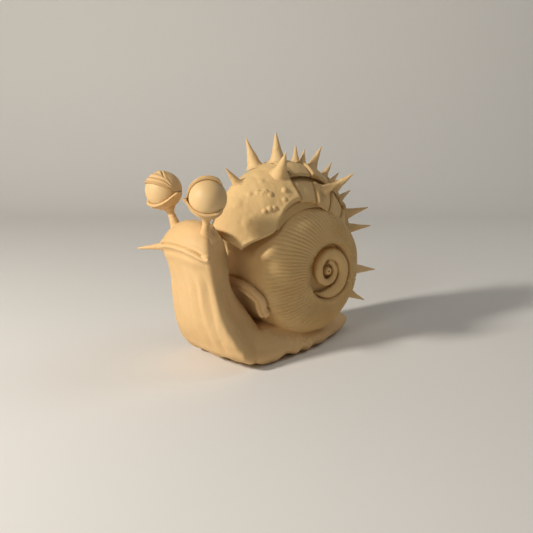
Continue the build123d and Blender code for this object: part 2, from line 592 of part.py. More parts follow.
def build():
    nodes = {}
    nodes["shell_wheel"] = make_wheel(0)
    nodes["outer_whorl"] = make_outer_whorl()
    nodes["hood"] = make_hood()
    for index in range(len(PLATE_ANGLES) - 1):
        row = index + 1
        nodes[f"keel_plate_{row}"] = make_plate(KEEL_RISE, index, -KEEL_SIDE_ANGLE, KEEL_SIDE_ANGLE)
        nodes[f"scute_left_{row}"] = make_plate(0, index, SCUTE_SIDE_ANGLE, RIM_SIDE_ANGLE)
        nodes[f"scute_right_{row}"] = make_plate(0, index, -RIM_SIDE_ANGLE, -SCUTE_SIDE_ANGLE)
    for name, plate, spot, square, radius, length in spike_rows():
        cutter = spike_cutter(spot, square, radius)
        for carrier in {plate, "outer_whorl", "shell_wheel"}:
            nodes[carrier] = nodes[carrier] - cutter
        nodes[name] = make_spike(spot, square, radius, length)

    body = make_foot() + make_neck() - make_wheel(GLUE_GAP) - make_collar(GLUE_GAP)
    turns = {"left": EYE_LEFT_TURN, "right": EYE_RIGHT_TURN}
    opens = {
        "left": (EYE_LEFT_UPPER_OPEN, EYE_LEFT_LOWER_OPEN),
        "right": (EYE_RIGHT_UPPER_OPEN, EYE_RIGHT_LOWER_OPEN)}
    for name, side in SIDES.items():
        recess = spire_seat(side) * Cylinder(RECESS_RADIUS, OVERRUN, align=SEAT_ON_BASE)
        nodes["shell_wheel"] = nodes["shell_wheel"] - recess
        nodes[f"spire_{name}"] = make_spire(side)
        foot, up = stalk_foot(side), stalk_direction(side)
        body = body - sink(foot, up, STALK_FOOT_RADIUS)
        body = body - drill(foot, -up, STALK_PEG_RADIUS + GLUE_GAP, STALK_PEG_LENGTH + GLUE_GAP)
        root, ahead = feeler_root(side), feeler_direction(side)
        body = body - sink(root, ahead, FEELER_ROOT_RADIUS)
        body = body - drill(root, -ahead, FEELER_PEG_RADIUS + GLUE_GAP, FEELER_PEG_LENGTH + GLUE_GAP)
        nodes[f"eye_stalk_{name}"] = make_stalk(side)
        nodes[f"eyeball_{name}"] = make_eyeball(side)
        upper, lower = make_lids(side, turns[name], *opens[name])
        nodes[f"upper_lid_{name}"] = upper
        nodes[f"lower_lid_{name}"] = lower
        nodes[f"feeler_{name}"] = make_feeler(side)
    nodes["mantle_collar"] = make_collar(0)

    for hole in make_pins(PIN_CLEARANCE):
        body = body - hole
        nodes["shell_wheel"] = nodes["shell_wheel"] - hole
        nodes["outer_whorl"] = nodes["outer_whorl"] - hole
    nodes["body"] = body
    nodes["locating_pins"] = Compound(children=make_pins(0))
    return nodes


os.makedirs("parts", exist_ok=True)
for node, shape in build().items():
    export_step(shape, f"parts/{node}.step")
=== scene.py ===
import json
import math

import bpy
import numpy as np
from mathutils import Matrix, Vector


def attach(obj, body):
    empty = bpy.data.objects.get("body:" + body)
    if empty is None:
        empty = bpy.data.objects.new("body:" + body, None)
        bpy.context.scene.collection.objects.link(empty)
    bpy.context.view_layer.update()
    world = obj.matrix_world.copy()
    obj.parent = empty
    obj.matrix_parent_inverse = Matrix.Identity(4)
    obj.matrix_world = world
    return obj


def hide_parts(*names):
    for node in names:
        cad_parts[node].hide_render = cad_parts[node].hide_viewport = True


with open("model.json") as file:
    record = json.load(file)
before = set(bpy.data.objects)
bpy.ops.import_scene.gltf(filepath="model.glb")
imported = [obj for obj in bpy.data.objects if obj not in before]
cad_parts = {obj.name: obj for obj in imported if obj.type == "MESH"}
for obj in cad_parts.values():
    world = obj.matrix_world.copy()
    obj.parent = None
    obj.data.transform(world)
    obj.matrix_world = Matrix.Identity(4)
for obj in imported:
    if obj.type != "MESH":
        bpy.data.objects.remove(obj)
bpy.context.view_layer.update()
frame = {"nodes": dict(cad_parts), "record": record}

# Sizes are in millimetres and angles of the tables in degrees.
# In the part's frame the snail faces -Y, its left side is +X and +Z is up.
MM = 0.001
SIDES = {"left": 1, "right": -1}

# Noise: factors of its hash
HASH_AXES = np.array([73856093, 19349663, 83492791])
HASH_SEED = 2654435761
HASH_ROUNDS = [(15, 0x2C1B3C6D), (12, 0x297A2D39)]
HASH_BITS = 0xFFFFFFFF

# Foot: levels with height, reach ahead, reach behind and half width,
# and half of the outline in shares of the length and half width
FOOT_LEVELS = np.array([
    (0.0, 31.5, 33.0, 15.5), (3.4, 38.0, 37.0, 20.0),
    (7.2, 38.0, 31.5, 17.2), (12.5, 36.0, 24.0, 12.5)])
FOOT_OUTLINE = np.array([
    (0.00, 0.00), (0.03, 0.50), (0.11, 0.88), (0.22, 1.00), (0.36, 0.98),
    (0.50, 0.90), (0.65, 0.75), (0.80, 0.56), (0.93, 0.30), (1.00, 0.00)])
FOOT_ROWS, FOOT_COLUMNS = 26, 200

# Neck: levels as shares of the head's height, of its reach (tip, widest place and nape)
# and of its half width (widest place and nape)
HEAD_HEIGHT, HEAD_REACH, HEAD_HALF_WIDTH = 56.6, 54.0, 15.6
NECK_LEVELS = np.array([
    (0.030, 0.660, 0.600, 0.260, 1.03, 0.77), (0.088, 0.765, 0.680, 0.300, 1.31, 0.77),
    (0.177, 0.830, 0.740, 0.350, 1.27, 0.72), (0.318, 0.889, 0.811, 0.445, 1.08, 0.62),
    (0.459, 0.917, 0.844, 0.552, 0.975, 0.52), (0.601, 0.937, 0.865, 0.618, 0.900, 0.46),
    (0.707, 0.963, 0.896, 0.570, 0.923, 0.29), (0.804, 1.000, 0.935, 0.592, 1.000, 0.30),
    (0.875, 0.996, 0.913, 0.652, 0.872, 0.45), (0.936, 0.963, 0.889, 0.730, 0.705, 0.50),
    (0.981, 0.917, 0.870, 0.760, 0.480, 0.38), (1.000, 0.885, 0.852, 0.796, 0.256, 0.224)])
NECK_ROWS, NECK_COLUMNS = 110, 160
BODY_VOXEL = 0.40

# Mouth line across the head: distance from the middle and height, then the spans over which
# the line deepens and ends, the distance ahead at which the face starts, and the groove's
# middle and width
MOUTH_LINE = np.array([(0.0, 48.7), (6.0, 48.5), (11.0, 47.4), (14.0, 46.0), (16.0, 44.9)])
MOUTH_CORNER, MOUTH_END, FACE_START = (7, 13), (13.2, 16.2), (43, 46)
MOUTH_DEPTH, MOUTH_CORNER_DEPTH, MOUTH_GROOVE = 0.40, 0.75, (0.05, 0.42)

# Rolls and hollows of the body, each with its height, middle and width:
# lips and chin by height over the mouth line, folds of the neck by place across it,
# and lifted stretches of the hem by angle from the front
LIP_FORMS = [(0.25, 1.1, 0.8), (0.62, -1.05, 0.72), (-0.55, -3.1, 1.3), (-0.20, -6.5, 3.0)]
NECK_FOLDS = [
    (-0.35, 1.6, 1.2), (0.55, 4.4, 1.3), (-0.60, 7.6, 1.1), (0.62, 10.4, 1.2),
    (-0.45, 13.0, 0.9), (0.35, -3.6, 1.8), (-0.45, -7.5, 1.4), (0.35, -10.5, 1.5)]
FOLD_LEAN, FOLD_LEAN_HEIGHT = 0.10, 24
FOLD_SPANS, STREAK_SPANS = ((3, 12), (32, 43)), ((3, 10), (38, 45))
STREAK_DEPTH, WART_DEPTH, HEM_SPREAD = 0.16, 0.8, (2.4, 2.6)
HEM_LIFTS = [(5.2, 11, 9.5), (2.8, -17, 4), (1.8, 51, 6), (2.0, -62, 14)]

# Lobes of the hem: angle from the front and how far they stand out
HEM_LOBES = np.array([
    (-180, 0), (-130, -0.5), (-100, 0.5), (-75, -0.6), (-52, 0.5), (-36, -0.9), (-20, 0.9),
    (-8, -0.4), (4, 0.4), (14, -0.9), (24, -0.2), (33, 1.5), (42, 0.9), (52, -0.8),
    (62, 0.5), (72, -0.6), (84, 0.6), (98, -0.6), (120, 0.5), (150, -0.5), (180, 0)])

# Uneven surfaces: depth, size and seed of each noise, and the first seed for pieces of a kind
SKIN_NOISE = [(0.25, 7.0, 2), (0.06, 2.2, 3)]
HOOD_NOISE = [(0.35, 9.0, 121), (0.12, 3.0, 122), (0.05, 1.3, 123)]
WHEEL_NOISE = [(0.20, 8.0, 103), (0.06, 2.5, 104)]
RIB_DRIFT, RIB_PATCHES = [(1.8, 9.0, 101)], [(0.30, 6.0, 102)]
RING_NOISE = {
    "stalk": (0.16, 1.8, 11), "feeler": (0.10, 1.4, 21), "spike": (0.13, 1.6, 40),
    "collar": (0.22, 2.0, 71), "spire": (0.16, 2.2, 111)}
LID_NOISE_DEPTH, LID_NOISE_SIZE, LID_SEED = 0.08, 2.4, 90
KEEL_SEED, SCUTE_SEED = 131, 141

# Stalks, with their creases as shares of the length
STALK_PLACE = np.array([9.3, -46.8, 52.4])
STALK_RADIUS, STALK_FLARE, STALK_CUP = 1.40, 2.9, 0.95
STALK_ROOT, STALK_OVERLAP, STALK_ROWS = 2.5, 0.35, 60
STALK_CREASES = [(-0.12, 0.80, 0.03), (-0.12, 0.66, 0.03), (-0.10, 0.50, 0.03)]

# Eyeballs, with a flat over the stalk and a blind bore for its peg
EYE_PLACE = np.array([14.7, -49.2, 67.0])
EYE_TURN = {"left": 56, "right": 6}
EYEBALL_RADIUS, EYE_FLAT_DEPTH = 6.8, 0.45
EYE_BORE_RADIUS, EYE_BORE_END = 1.35, -1.0
EYE_ROWS, EYE_COLUMNS = 70, 96

# Lids: opening, reach of the pointed corner, height of the rim,
# and folds with their place past the rim in degrees, depth and width
LOWER_FOLDS = [(11, -0.34, 2.4), (21, 0.50, 5.0), (32, -0.22, 3.5), (41, 0.18, 4.0)]
LEFT_FOLDS = [(9, -0.25, 2.2), (18, 0.72, 6.5), (34, -0.15, 4.0)]
RIGHT_FOLDS = [
    (12, -0.22, 2.6), (18, 0.30, 3.2), (27, -0.20, 2.6), (34, 0.22, 4.0), (46, -0.14, 4.0)]
LIDS = {
    "left": {"upper": (75, 0.6, 0.72, LEFT_FOLDS), "lower": (42, 2.1, 0.85, LOWER_FOLDS)},
    "right": {"upper": (27, 0.6, 0.40, RIGHT_FOLDS), "lower": (42, 2.1, 0.85, LOWER_FOLDS)}}
LID_FLIPS = {"upper": 1, "lower": -1}
LID_CLEARANCE, LID_THICKNESS, LID_THINNEST, LID_LIFT = 0.1, 0.44, 0.08, 0.22
LID_BACK, LID_EDGE, LID_ROLL, FOLD_WANDER = 178, 2.6, (3.0, 5.0), 4
LID_ROWS, LID_COLUMNS = 120, 100

# Corners of the lids, in radians along the eye's slit: size of the point, share of it inside,
# span of the end that sinks into the ball, and depths of the sunken end outside and inside
CORNER_SIZE, CORNER_INSIDE, SUNK_END = 0.22, 0.35, (0.45, 1.15)
SUNK_OUTSIDE, SUNK_INSIDE = 0.40, 0.60

# Notch across the upper lid of the right eye, which leans as it goes back from the rim
NOTCHED_LID = ("right", "upper")
NOTCH_PLACE, NOTCH_LEAN, NOTCH_MIDDLE = 1.35, 0.029, 52
NOTCH_SPANS, NOTCH_FORMS = ((36, 46), (66, 80)), [(0.45, 0, 0.30), (-1.10, 0, 0.085)]

# Feelers: length and rise of the tip
FEELER_PLACE = np.array([14.0, -49.7, 45.6])
FEELER_RADIUS, FEELER_ROOT, FEELER_TURN, FEELER_DROOP = 1.6, 2.0, 57, 8
FEELERS = {"left": (9.0, 2.4), "right": (11.7, 0.0)}
FEELER_ROWS, FEELER_COLUMNS = 48, 28

# Shell wheel, its ribs, which start past the recess and end by shares of the radius, and recess
WHEEL_CENTER = np.array([0.0, 2.0, 32.7])
WHEEL_RADIUS, WHEEL_HALF_WIDTH, WHEEL_SQUARENESS = 26.8, 20.0, 5.0
WHEEL_ROWS, WHEEL_COLUMNS = 1000, 190
RIB_COUNT, RIB_DEPTH, RIB_LEAN, RIB_LEVEL = 74, 0.66, 0.028, 0.75
RIB_STRENGTH, RIB_FADE, RIB_START, RIB_END = 0.80, 0.30, (0.3, 1.8), (0.93, 0.985)
WHEEL_SPAN = 89.6
RECESS_RADIUS, RECESS_DEPTH, RECESS_SPARE = 11.8, 4.6, 1.0
LUMP_REACH = 27.0

# Spire: turn, reach, radius and rise along the coil,
# heights and gaps to the recess of the disc, and heights and radii of the knob
SPIRE_CENTER = np.array([0.0, 7.8, 32.6])
SPIRE_COIL = np.array([
    (228, 10.3, 0.15, 1.5), (270, 9.7, 1.9, 2.0), (360, 8.6, 2.5, 1.9), (450, 7.0, 2.3, 1.5),
    (540, 5.3, 1.75, 2.2), (630, 4.6, 1.45, 2.2), (720, 4.2, 1.25, 1.9), (800, 3.9, 1.0, 1.6)])
SPIRE_DISC = np.array([(-0.8, 0.1), (-0.2, 0.1), (0.1, 0.5), (0.2, 1.5)])
SPIRE_KNOB = np.array([
    (-0.4, 1.9), (1.6, 1.7), (2.5, 1.6), (3.0, 1.4),
    (3.3, 1.05), (3.4, 0.8), (3.2, 0.55), (2.6, 0.4)])
SPIRE_VOXEL, SPIRE_ROWS = 0.2, 240

# Collar: half of its path as shares of the half width and angles round the wheel
COLLAR_PATH = [(1, -31), (1, -22), (1, -15), (0.78, -9), (0.45, -6), (0, -5.5)]
COLLAR_HALF_WIDTH, COLLAR_LIFT, COLLAR_RADIUS = 13.4, 2.35, 2.05
COLLAR_ROWS, COLLAR_COLUMNS = 140, 56

# Armour, with angles from straight ahead over the top and side angles from the middle
ARMOUR_CENTER = np.array([0.0, -1.5, 42.6])
ARMOUR_RADIUS, ARMOUR_HALF_WIDTH = 34.7, 21.0
PLATE_THICKNESS, PLATE_ROUNDING, PLATE_DROP, PLATE_GAP = 2.2, 0.9, 1.1, 0.3
PLATE_SINK, PLATE_BEAD, PLATE_FALL, PLATE_FALL_SPAN = 0.15, (0.45, 1.1, 1.2), 0.35, (3, 13)
PLATE_ANGLES = [79, 103, 127, 150, 178]
PLATE_RIM = np.array([
    (79, 54.5), (95, 55.5), (110, 57.5), (125, 58.5), (140, 57.5), (155, 54.0), (178, 46.0)])
KEEL_RISE, KEEL_SIDE, SCUTE_SIDE = 0.8, 31, 36
PLATE_ROWS, KEEL_COLUMNS, SCUTE_COLUMNS = 60, 110, 60

# Hood: side angle and angle along its lip, angle and side angle along its rim,
# and bumps with angle, side angle, height and width
HOOD_THICKNESS, HOOD_ROUNDING, HOOD_SINK, HOOD_BEAD = 2.6, 1.5, 0.3, (0.18, 1.4, 0.9)
HOOD_ROWS, HOOD_COLUMNS = 260, 320
HOOD_LIP = np.array([(0, 11.2), (10, 10.4), (18, 8.6), (25, 6.9), (30, 5.0)])
HOOD_RIM = np.array([
    (5, 30), (10.7, 37.9), (16, 45.6), (23, 52.0), (28, 54.5),
    (36, 54.6), (44, 54), (60, 52.4), (79, 53)])
HOOD_BUMPS = [
    (53.2, 31.0, 0.75, 1.05), (54.2, 35.0, 0.70, 1.05), (49.6, 25.5, 0.50, 0.95),
    (66.4, 40.3, 0.85, 1.15), (39.8, 39.7, 0.75, 0.95), (43.8, 42.3, 0.85, 1.05),
    (47.3, 45.0, 0.70, 0.90), (62.5, 9.8, 0.35, 1.8), (52.0, -30.0, 0.75, 1.1),
    (55.0, -35.0, 0.70, 1.05), (44.0, -42.0, 0.85, 1.2), (48.0, -45.0, 0.80, 1.15),
    (36.0, 14.0, 0.30, 2.0), (30.0, -10.0, 0.35, 2.2), (26.0, 30.0, 0.30, 1.8),
    (64.0, -38.0, 0.80, 1.1), (51.0, 29.0, 0.55, 0.85), (60.0, 46.0, 0.55, 0.9),
    (45.5, 20.0, 0.35, 0.9), (58.0, 20.0, 0.30, 1.1)]

# Spikes: radius and length of each size, then the places by angle, side angle or share of the
# wheel's half width, and size. Hood spikes end with how far they stand up straighter than the
# hood, and side spikes with their lift.
SPIKE_SIZES = {"small": (2.0, 8.0), "medium": (2.3, 9.5), "large": (3.2, 11.6)}
SPIKE_ROOT, SPIKE_BEND = 0.6, 0.35
SPIKE_ROWS, SPIKE_COLUMNS = 42, 36
HOOD_SPIKES = {
    "front": (50, -4, "small", 0), "right": (72, -14, "large", 0.6), "left": (73, 25, "large", 0)}
KEEL_SPIKES = [
    (85.5, 0, "large"), (107.5, -10, "small"), (115, -11, "small"), (116, 4, "medium"),
    (131.5, 0, "small"), (140, 0, "small"), (154.5, 0, "medium")]
SIDE_SPIKES = [
    (116, 42, "medium", 0), (135, 22, "medium", KEEL_RISE),
    (161, 22, "medium", KEEL_RISE), (173, 22, "medium", KEEL_RISE)]
WHEEL_SPIKES = [(186, 0.72, "medium"), (210, 0.72, "small")]

# Camera, and lights with place, size, power and colour
CAMERA_AZIMUTH, CAMERA_ELEVATION, CAMERA_DISTANCE, CAMERA_ANGLE = 50, 13, 300, 40
CAMERA_TARGET = np.array([0, -10, 34])
LIGHT_TARGET = (0, -8, 36)
LIGHTS = {
    "key": ((-92, -560, 350), 75, 3.75, (1.0, 0.95, 0.88)),
    "fill": ((215, -550, 320), 200, 0.60, (1.0, 0.98, 0.95)),
    "rim": ((160, 380, 420), 300, 0.5, (1.0, 0.98, 0.95))}
WORLD_STRENGTH = 0.08

# Stage: floor from near to far along the view, the curve behind it and the backdrop's top
STAGE_NEAR, STAGE_FAR, STAGE_CURVE, STAGE_TOP = -2600, 330, 140, 900
STAGE_HALF_WIDTH, STAGE_STEPS = 2600, 12
STAGE_COLOUR, STAGE_ROUGHNESS = (0.76, 0.74, 0.70), 0.9


# Numbers

def noise(points, size, seed):
    """Smooth noise from -1 to 1 at points, with features of about a size."""
    place = points / size
    cell = np.floor(place).astype(np.int64)
    part = place - cell
    fade = part ** 3 * (part * (part * 6 - 15) + 10)
    total = np.zeros(len(points))
    for corner in np.ndindex(2, 2, 2):
        key = (cell + corner) * HASH_AXES
        mix = (key[:, 0] ^ key[:, 1] ^ key[:, 2] ^ seed * HASH_SEED) & HASH_BITS
        for shift, factor in HASH_ROUNDS:
            mix = (mix ^ mix >> shift) * factor & HASH_BITS
        mix = mix ^ mix >> 15
        weight = np.prod(np.where(corner, fade, 1 - fade), axis=1)
        total += weight * (mix / 2 ** 31 - 1)
    return total


def noises(points, layers):
    """Sum of noises at a list or grid of points, each given by its depth, size and seed."""
    flat = points.reshape(-1, 3)
    total = sum(depth * noise(flat, size, seed) for depth, size, seed in layers)
    return total.reshape(points.shape[:-1])


def hill(x, middle, width):
    """Bell of height 1."""
    return np.exp(-((x - middle) / width) ** 2)


def hills(x, forms):
    """Sum of bells, each given by its height, middle and width."""
    return sum(height * hill(x, middle, width) for height, middle, width in forms)


def ramp(x, low, high):
    """Smooth step from 0 at low to 1 at high."""
    t = np.clip((x - low) / (high - low), 0, 1)
    return t * t * (3 - 2 * t)


def between(x, rise, fall):
    """1 from the end of a rise to the start of a fall, each a span with a smooth step."""
    return ramp(x, *rise) * (1 - ramp(x, *fall))


def quarter_round(share, least=0.0):
    """Quarter circle that rises to 1 at a share of 1; least is the smallest square of it."""
    return np.sqrt(np.clip(1 - (1 - np.clip(share, 0, 1)) ** 2, least, 1))


def smooth_through(x, knots, values):
    """Smooth curve through values at knots."""
    knots = np.asarray(knots, float)
    values = np.asarray(values, float)
    slope = np.gradient(values, knots, axis=0)
    i = np.clip(np.searchsorted(knots, x) - 1, 0, len(knots) - 2)
    step = knots[i + 1] - knots[i]
    t = (x - knots[i]) / step
    if values.ndim == 2:
        step, t = step[:, None], t[:, None]
    start = (1 + 2 * t) * (1 - t) ** 2 * values[i] + t * (1 - t) ** 2 * step * slope[i]
    return start + t * t * (3 - 2 * t) * values[i + 1] + t * t * (t - 1) * step * slope[i + 1]


def closed_curve(points, count):
    """Smooth closed curve through points."""
    spare = 3
    around = np.vstack([points[-spare:], points, points[:spare]])
    reach = np.linalg.norm(np.diff(around, axis=0), axis=1) ** 0.7
    knots = np.concatenate([[0], np.cumsum(reach)])
    steps = np.linspace(knots[spare], knots[spare + len(points)], count, endpoint=False)
    return smooth_through(steps, knots, around)


def open_curve(points, count):
    """Smooth open curve through points."""
    points = np.asarray(points, float)
    knots = np.concatenate([[0], np.cumsum(np.linalg.norm(np.diff(points, axis=0), axis=1))])
    return smooth_through(np.linspace(0, knots[-1], count), knots, points)


# Meshes

def grid_faces(rows, columns, wrap=False):
    """Quads of a grid of points, rows one after the other."""
    index = np.arange(rows * columns).reshape(rows, columns)
    if wrap:
        index = np.hstack([index, index[:, :1]])
    corners = [index[:-1, :-1], index[:-1, 1:], index[1:, 1:], index[1:, :-1]]
    return np.stack(corners, -1).reshape(-1, 4)


def tube_mesh(rings):
    """Closed mesh through rings of points, with a middle point at each end."""
    rows, columns = rings.shape[:2]
    points = np.vstack([rings.reshape(-1, 3), rings[0].mean(0), rings[-1].mean(0)])
    faces = grid_faces(rows, columns, wrap=True).tolist()
    first, last = rows * columns, rows * columns + 1
    for i in range(columns):
        j = (i + 1) % columns
        faces.append([first, j, i])
        faces.append([last, (rows - 1) * columns + i, (rows - 1) * columns + j])
    return points, faces


def slab_mesh(outer, inner):
    """Closed mesh between an outer and an inner grid of points."""
    rows, columns = outer.shape[:2]
    count = rows * columns
    points = np.vstack([outer.reshape(-1, 3), inner.reshape(-1, 3)])
    quads = grid_faces(rows, columns)
    index = np.arange(count).reshape(rows, columns)
    rim = np.concatenate([index[0], index[1:, -1], index[-1, -2::-1], index[-2:0:-1, 0]])
    after = np.roll(rim, -1)
    side = np.stack([rim, rim + count, after + count, after], -1)
    return points, np.vstack([quads, quads[:, ::-1] + count, side])


def normals_of(points, faces):
    """Unit normal at each point of a quad mesh."""
    across = points[faces[:, 2]] - points[faces[:, 0]]
    along = points[faces[:, 3]] - points[faces[:, 1]]
    face_normal = np.cross(across, along)
    total = np.zeros_like(points)
    for k in range(4):
        np.add.at(total, faces[:, k], face_normal)
    return total / np.maximum(np.linalg.norm(total, axis=1, keepdims=True), 1e-12)


def relax(points, faces, rounds, share):
    """Points of a quad mesh eased towards the middle of their neighbours."""
    count = len(points)
    start = faces.ravel()
    end = np.roll(faces, -1, axis=1).ravel()
    links = np.bincount(start, minlength=count) + np.bincount(end, minlength=count)
    for _ in range(rounds):
        total = np.zeros_like(points)
        for k, values in enumerate(points.T):
            total[:, k] = np.bincount(start, values[end], count)
            total[:, k] += np.bincount(end, values[start], count)
        points = points + share * (total / links[:, None] - points)
    return points


def read_mesh(mesh):
    """Points and faces of a mesh of quads."""
    points = np.empty(len(mesh.vertices) * 3)
    mesh.vertices.foreach_get("co", points)
    faces = np.empty(len(mesh.loops), np.int64)
    mesh.loops.foreach_get("vertex_index", faces)
    return points.reshape(-1, 3), faces.reshape(-1, 4)


def make_mesh(name, points, faces):
    mesh = bpy.data.meshes.new(name)
    mesh.from_pydata(np.asarray(points).tolist(), [], [list(face) for face in faces])
    mesh.update()
    return mesh


def fused(parts, voxel):
    """One quad mesh round several closed meshes that overlap."""
    points, faces = [], []
    for part_points, part_faces in parts:
        start = sum(len(p) for p in points)
        faces += [[start + i for i in face] for face in part_faces]
        points.append(part_points)
    work = bpy.data.objects.new("work", make_mesh("work", np.vstack(points), faces))
    bpy.context.scene.collection.objects.link(work)
    remesh = work.modifiers.new("remesh", "REMESH")
    remesh.mode = "VOXEL"
    remesh.voxel_size = voxel
    depsgraph = bpy.context.evaluated_depsgraph_get()
    result = read_mesh(bpy.data.meshes.new_from_object(work.evaluated_get(depsgraph)))
    bpy.data.objects.remove(work)
    return result


def smooth_object(name, mesh, material):
    """Object with smooth shading and one material, linked to the scene."""
    mesh.polygons.foreach_set("use_smooth", np.ones(len(mesh.polygons), bool))
    mesh.materials.append(material)
    obj = bpy.data.objects.new(name, mesh)
    bpy.context.scene.collection.objects.link(obj)
    return obj


def piece(name, points, faces, node, slot, body="figurine"):
    """Finished piece, in metres, that stands for a CAD node and takes a slot's material."""
    mesh = make_mesh(name, np.asarray(points) * MM, faces)
    obj = smooth_object(f"cast_{name}", mesh, MATERIALS[slot])
    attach(obj, body)
    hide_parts(node)


# Materials: matte cast resin, each slot with its own colour, scale and depth of grain, and roughness

WARM_TILT = (0.5, 0, -1)
MIX_COLOUR_A, MIX_COLOUR_B, MIX_COLOUR_OUT = 6, 7, 2


def cast_resin(name, colour, grain, grain_depth, roughness):
    """Matte resin: cloudy colour, fine specks, painted shade darkening the hollows, paler sharp
    edges and a fine grain.
    """
    material = bpy.data.materials.new(name)
    material.use_nodes = True
    nodes, links = material.node_tree.nodes, material.node_tree.links
    shader = nodes["Principled BSDF"]
    place = nodes.new("ShaderNodeTexCoord").outputs["Object"]

    def noise_node(scale, detail):
        node = nodes.new("ShaderNodeTexNoise")
        node.inputs["Scale"].default_value = scale
        node.inputs["Detail"].default_value = detail
        links.new(place, node.inputs["Vector"])
        return node.outputs["Fac"]

    def blend_colour(factor, low, high, first, second):
        """First colour where the factor is low and second where it is high."""
        span = nodes.new("ShaderNodeMapRange")
        span.inputs["From Min"].default_value = low
        span.inputs["From Max"].default_value = high
        links.new(factor, span.inputs["Value"])
        mix = nodes.new("ShaderNodeMix")
        mix.data_type = "RGBA"
        links.new(span.outputs["Result"], mix.inputs["Factor"])
        for socket, value in ((MIX_COLOUR_A, first), (MIX_COLOUR_B, second)):
            if isinstance(value, tuple):
                mix.inputs[socket].default_value = (*value, 1)
            else:
                links.new(value, mix.inputs[socket])
        return mix.outputs[MIX_COLOUR_OUT]

    def shade(share, warm):
        """The resin's colour, brighter by a share and warmer by a tilt of its channels."""
        return tuple(
            min(1, channel * share * (1 + tilt * warm)) for channel, tilt in zip(colour, WARM_TILT))

    clouds, specks = noise_node(scale=45, detail=4), noise_node(scale=900, detail=2)
    bend = nodes.new("ShaderNodeNewGeometry").outputs["Pointiness"]
    cloudy = blend_colour(clouds, 0.3, 0.7, shade(0.92, 0.05), shade(1.05, -0.04))
    specked = blend_colour(specks, 0.60, 0.80, cloudy, shade(0.94, 0.04))
    # Painted shade: the colour turns darker and warmer in hollows and creases, where shade falls
    painted_hollow_shade = blend_colour(bend, 0.42, 0.495, shade(0.55, 0.20), specked)
    # The colour turns paler on sharp edges and ridges
    paler_edges = blend_colour(bend, 0.515, 0.60, painted_hollow_shade, shade(1.12, -0.06))
    links.new(paler_edges, shader.inputs["Base Color"])

    rough = nodes.new("ShaderNodeMapRange")
    rough.inputs["To Min"].default_value = roughness - 0.08
    rough.inputs["To Max"].default_value = roughness + 0.08
    links.new(noise_node(scale=220, detail=3), rough.inputs["Value"])
    links.new(rough.outputs["Result"], shader.inputs["Roughness"])
    shader.inputs["Specular IOR Level"].default_value = 0.35
    shader.inputs["Subsurface Weight"].default_value = 0.06
    shader.inputs["Subsurface Radius"].default_value = (0.004, 0.002, 0.001)

    bump = nodes.new("ShaderNodeBump")
    bump.inputs["Strength"].default_value = 0.5
    bump.inputs["Distance"].default_value = grain_depth * MM
    links.new(noise_node(scale=grain, detail=5), bump.inputs["Height"])
    links.new(bump.outputs["Normal"], shader.inputs["Normal"])
    return material


MATERIALS = {
    "skin": cast_resin("skin", (0.72, 0.475, 0.22), 700, 0.10, 0.62),
    "eye": cast_resin("eye", (0.74, 0.51, 0.25), 500, 0.04, 0.52),
    "shell": cast_resin("shell", (0.70, 0.47, 0.205), 800, 0.10, 0.66),
    "armour": cast_resin("armour", (0.72, 0.49, 0.22), 600, 0.20, 0.66),
    "spike": cast_resin("spike", (0.73, 0.50, 0.235), 900, 0.08, 0.58),
    "pin": cast_resin("pin", (0.66, 0.43, 0.20), 700, 0.06, 0.6)}
for node in frame["record"]["subparts"]:
    cad = frame["nodes"][node["node"]]
    cad.data.materials.clear()
    cad.data.materials.append(MATERIALS[node["material_slot"]])


# Body: neck and foot fused, then mouth, folds and hem worked in

def level_ring(left, columns, height):
    """Level ring of points from its left half, which the right half mirrors."""
    ring = closed_curve(np.vstack([left, left[-2:0:-1] * (-1, 1)]), columns)
    return np.c_[ring, np.full(columns, height)]


def neck_mesh():
    heights = np.linspace(NECK_LEVELS[0, 0], 1, NECK_ROWS)
    levels = smooth_through(heights, NECK_LEVELS[:, 0], NECK_LEVELS[:, 1:])
    rings = []
    for height, level in zip(heights, levels):
        tip, edge, nape = HEAD_REACH * level[:3]
        half, nape_half = HEAD_HALF_WIDTH * level[3:]
        left = np.array([
            (0, -tip), (half * 0.55, -tip + (tip - edge) * 0.12),
            (half * 0.88, -tip + (tip - edge) * 0.62), (half, -edge),
            ((half + nape_half) * 0.46, -(edge + nape) / 2),
            (nape_half, -nape - (edge - nape) * 0.12), (0, -nape)])
        rings.append(level_ring(left, NECK_COLUMNS, height * HEAD_HEIGHT))
    return tube_mesh(np.array(rings))


def foot_mesh():
    heights = np.linspace(0, FOOT_LEVELS[-1, 0], FOOT_ROWS)
    levels = smooth_through(heights, FOOT_LEVELS[:, 0], FOOT_LEVELS[:, 1:])
    along, across = FOOT_OUTLINE.T
    rings = []
    for height, (front, back, half) in zip(heights, levels):
        left = np.c_[half * across, (front + back) * along - front]
        rings.append(level_ring(left, FOOT_COLUMNS, height))
    return tube_mesh(np.array(rings))


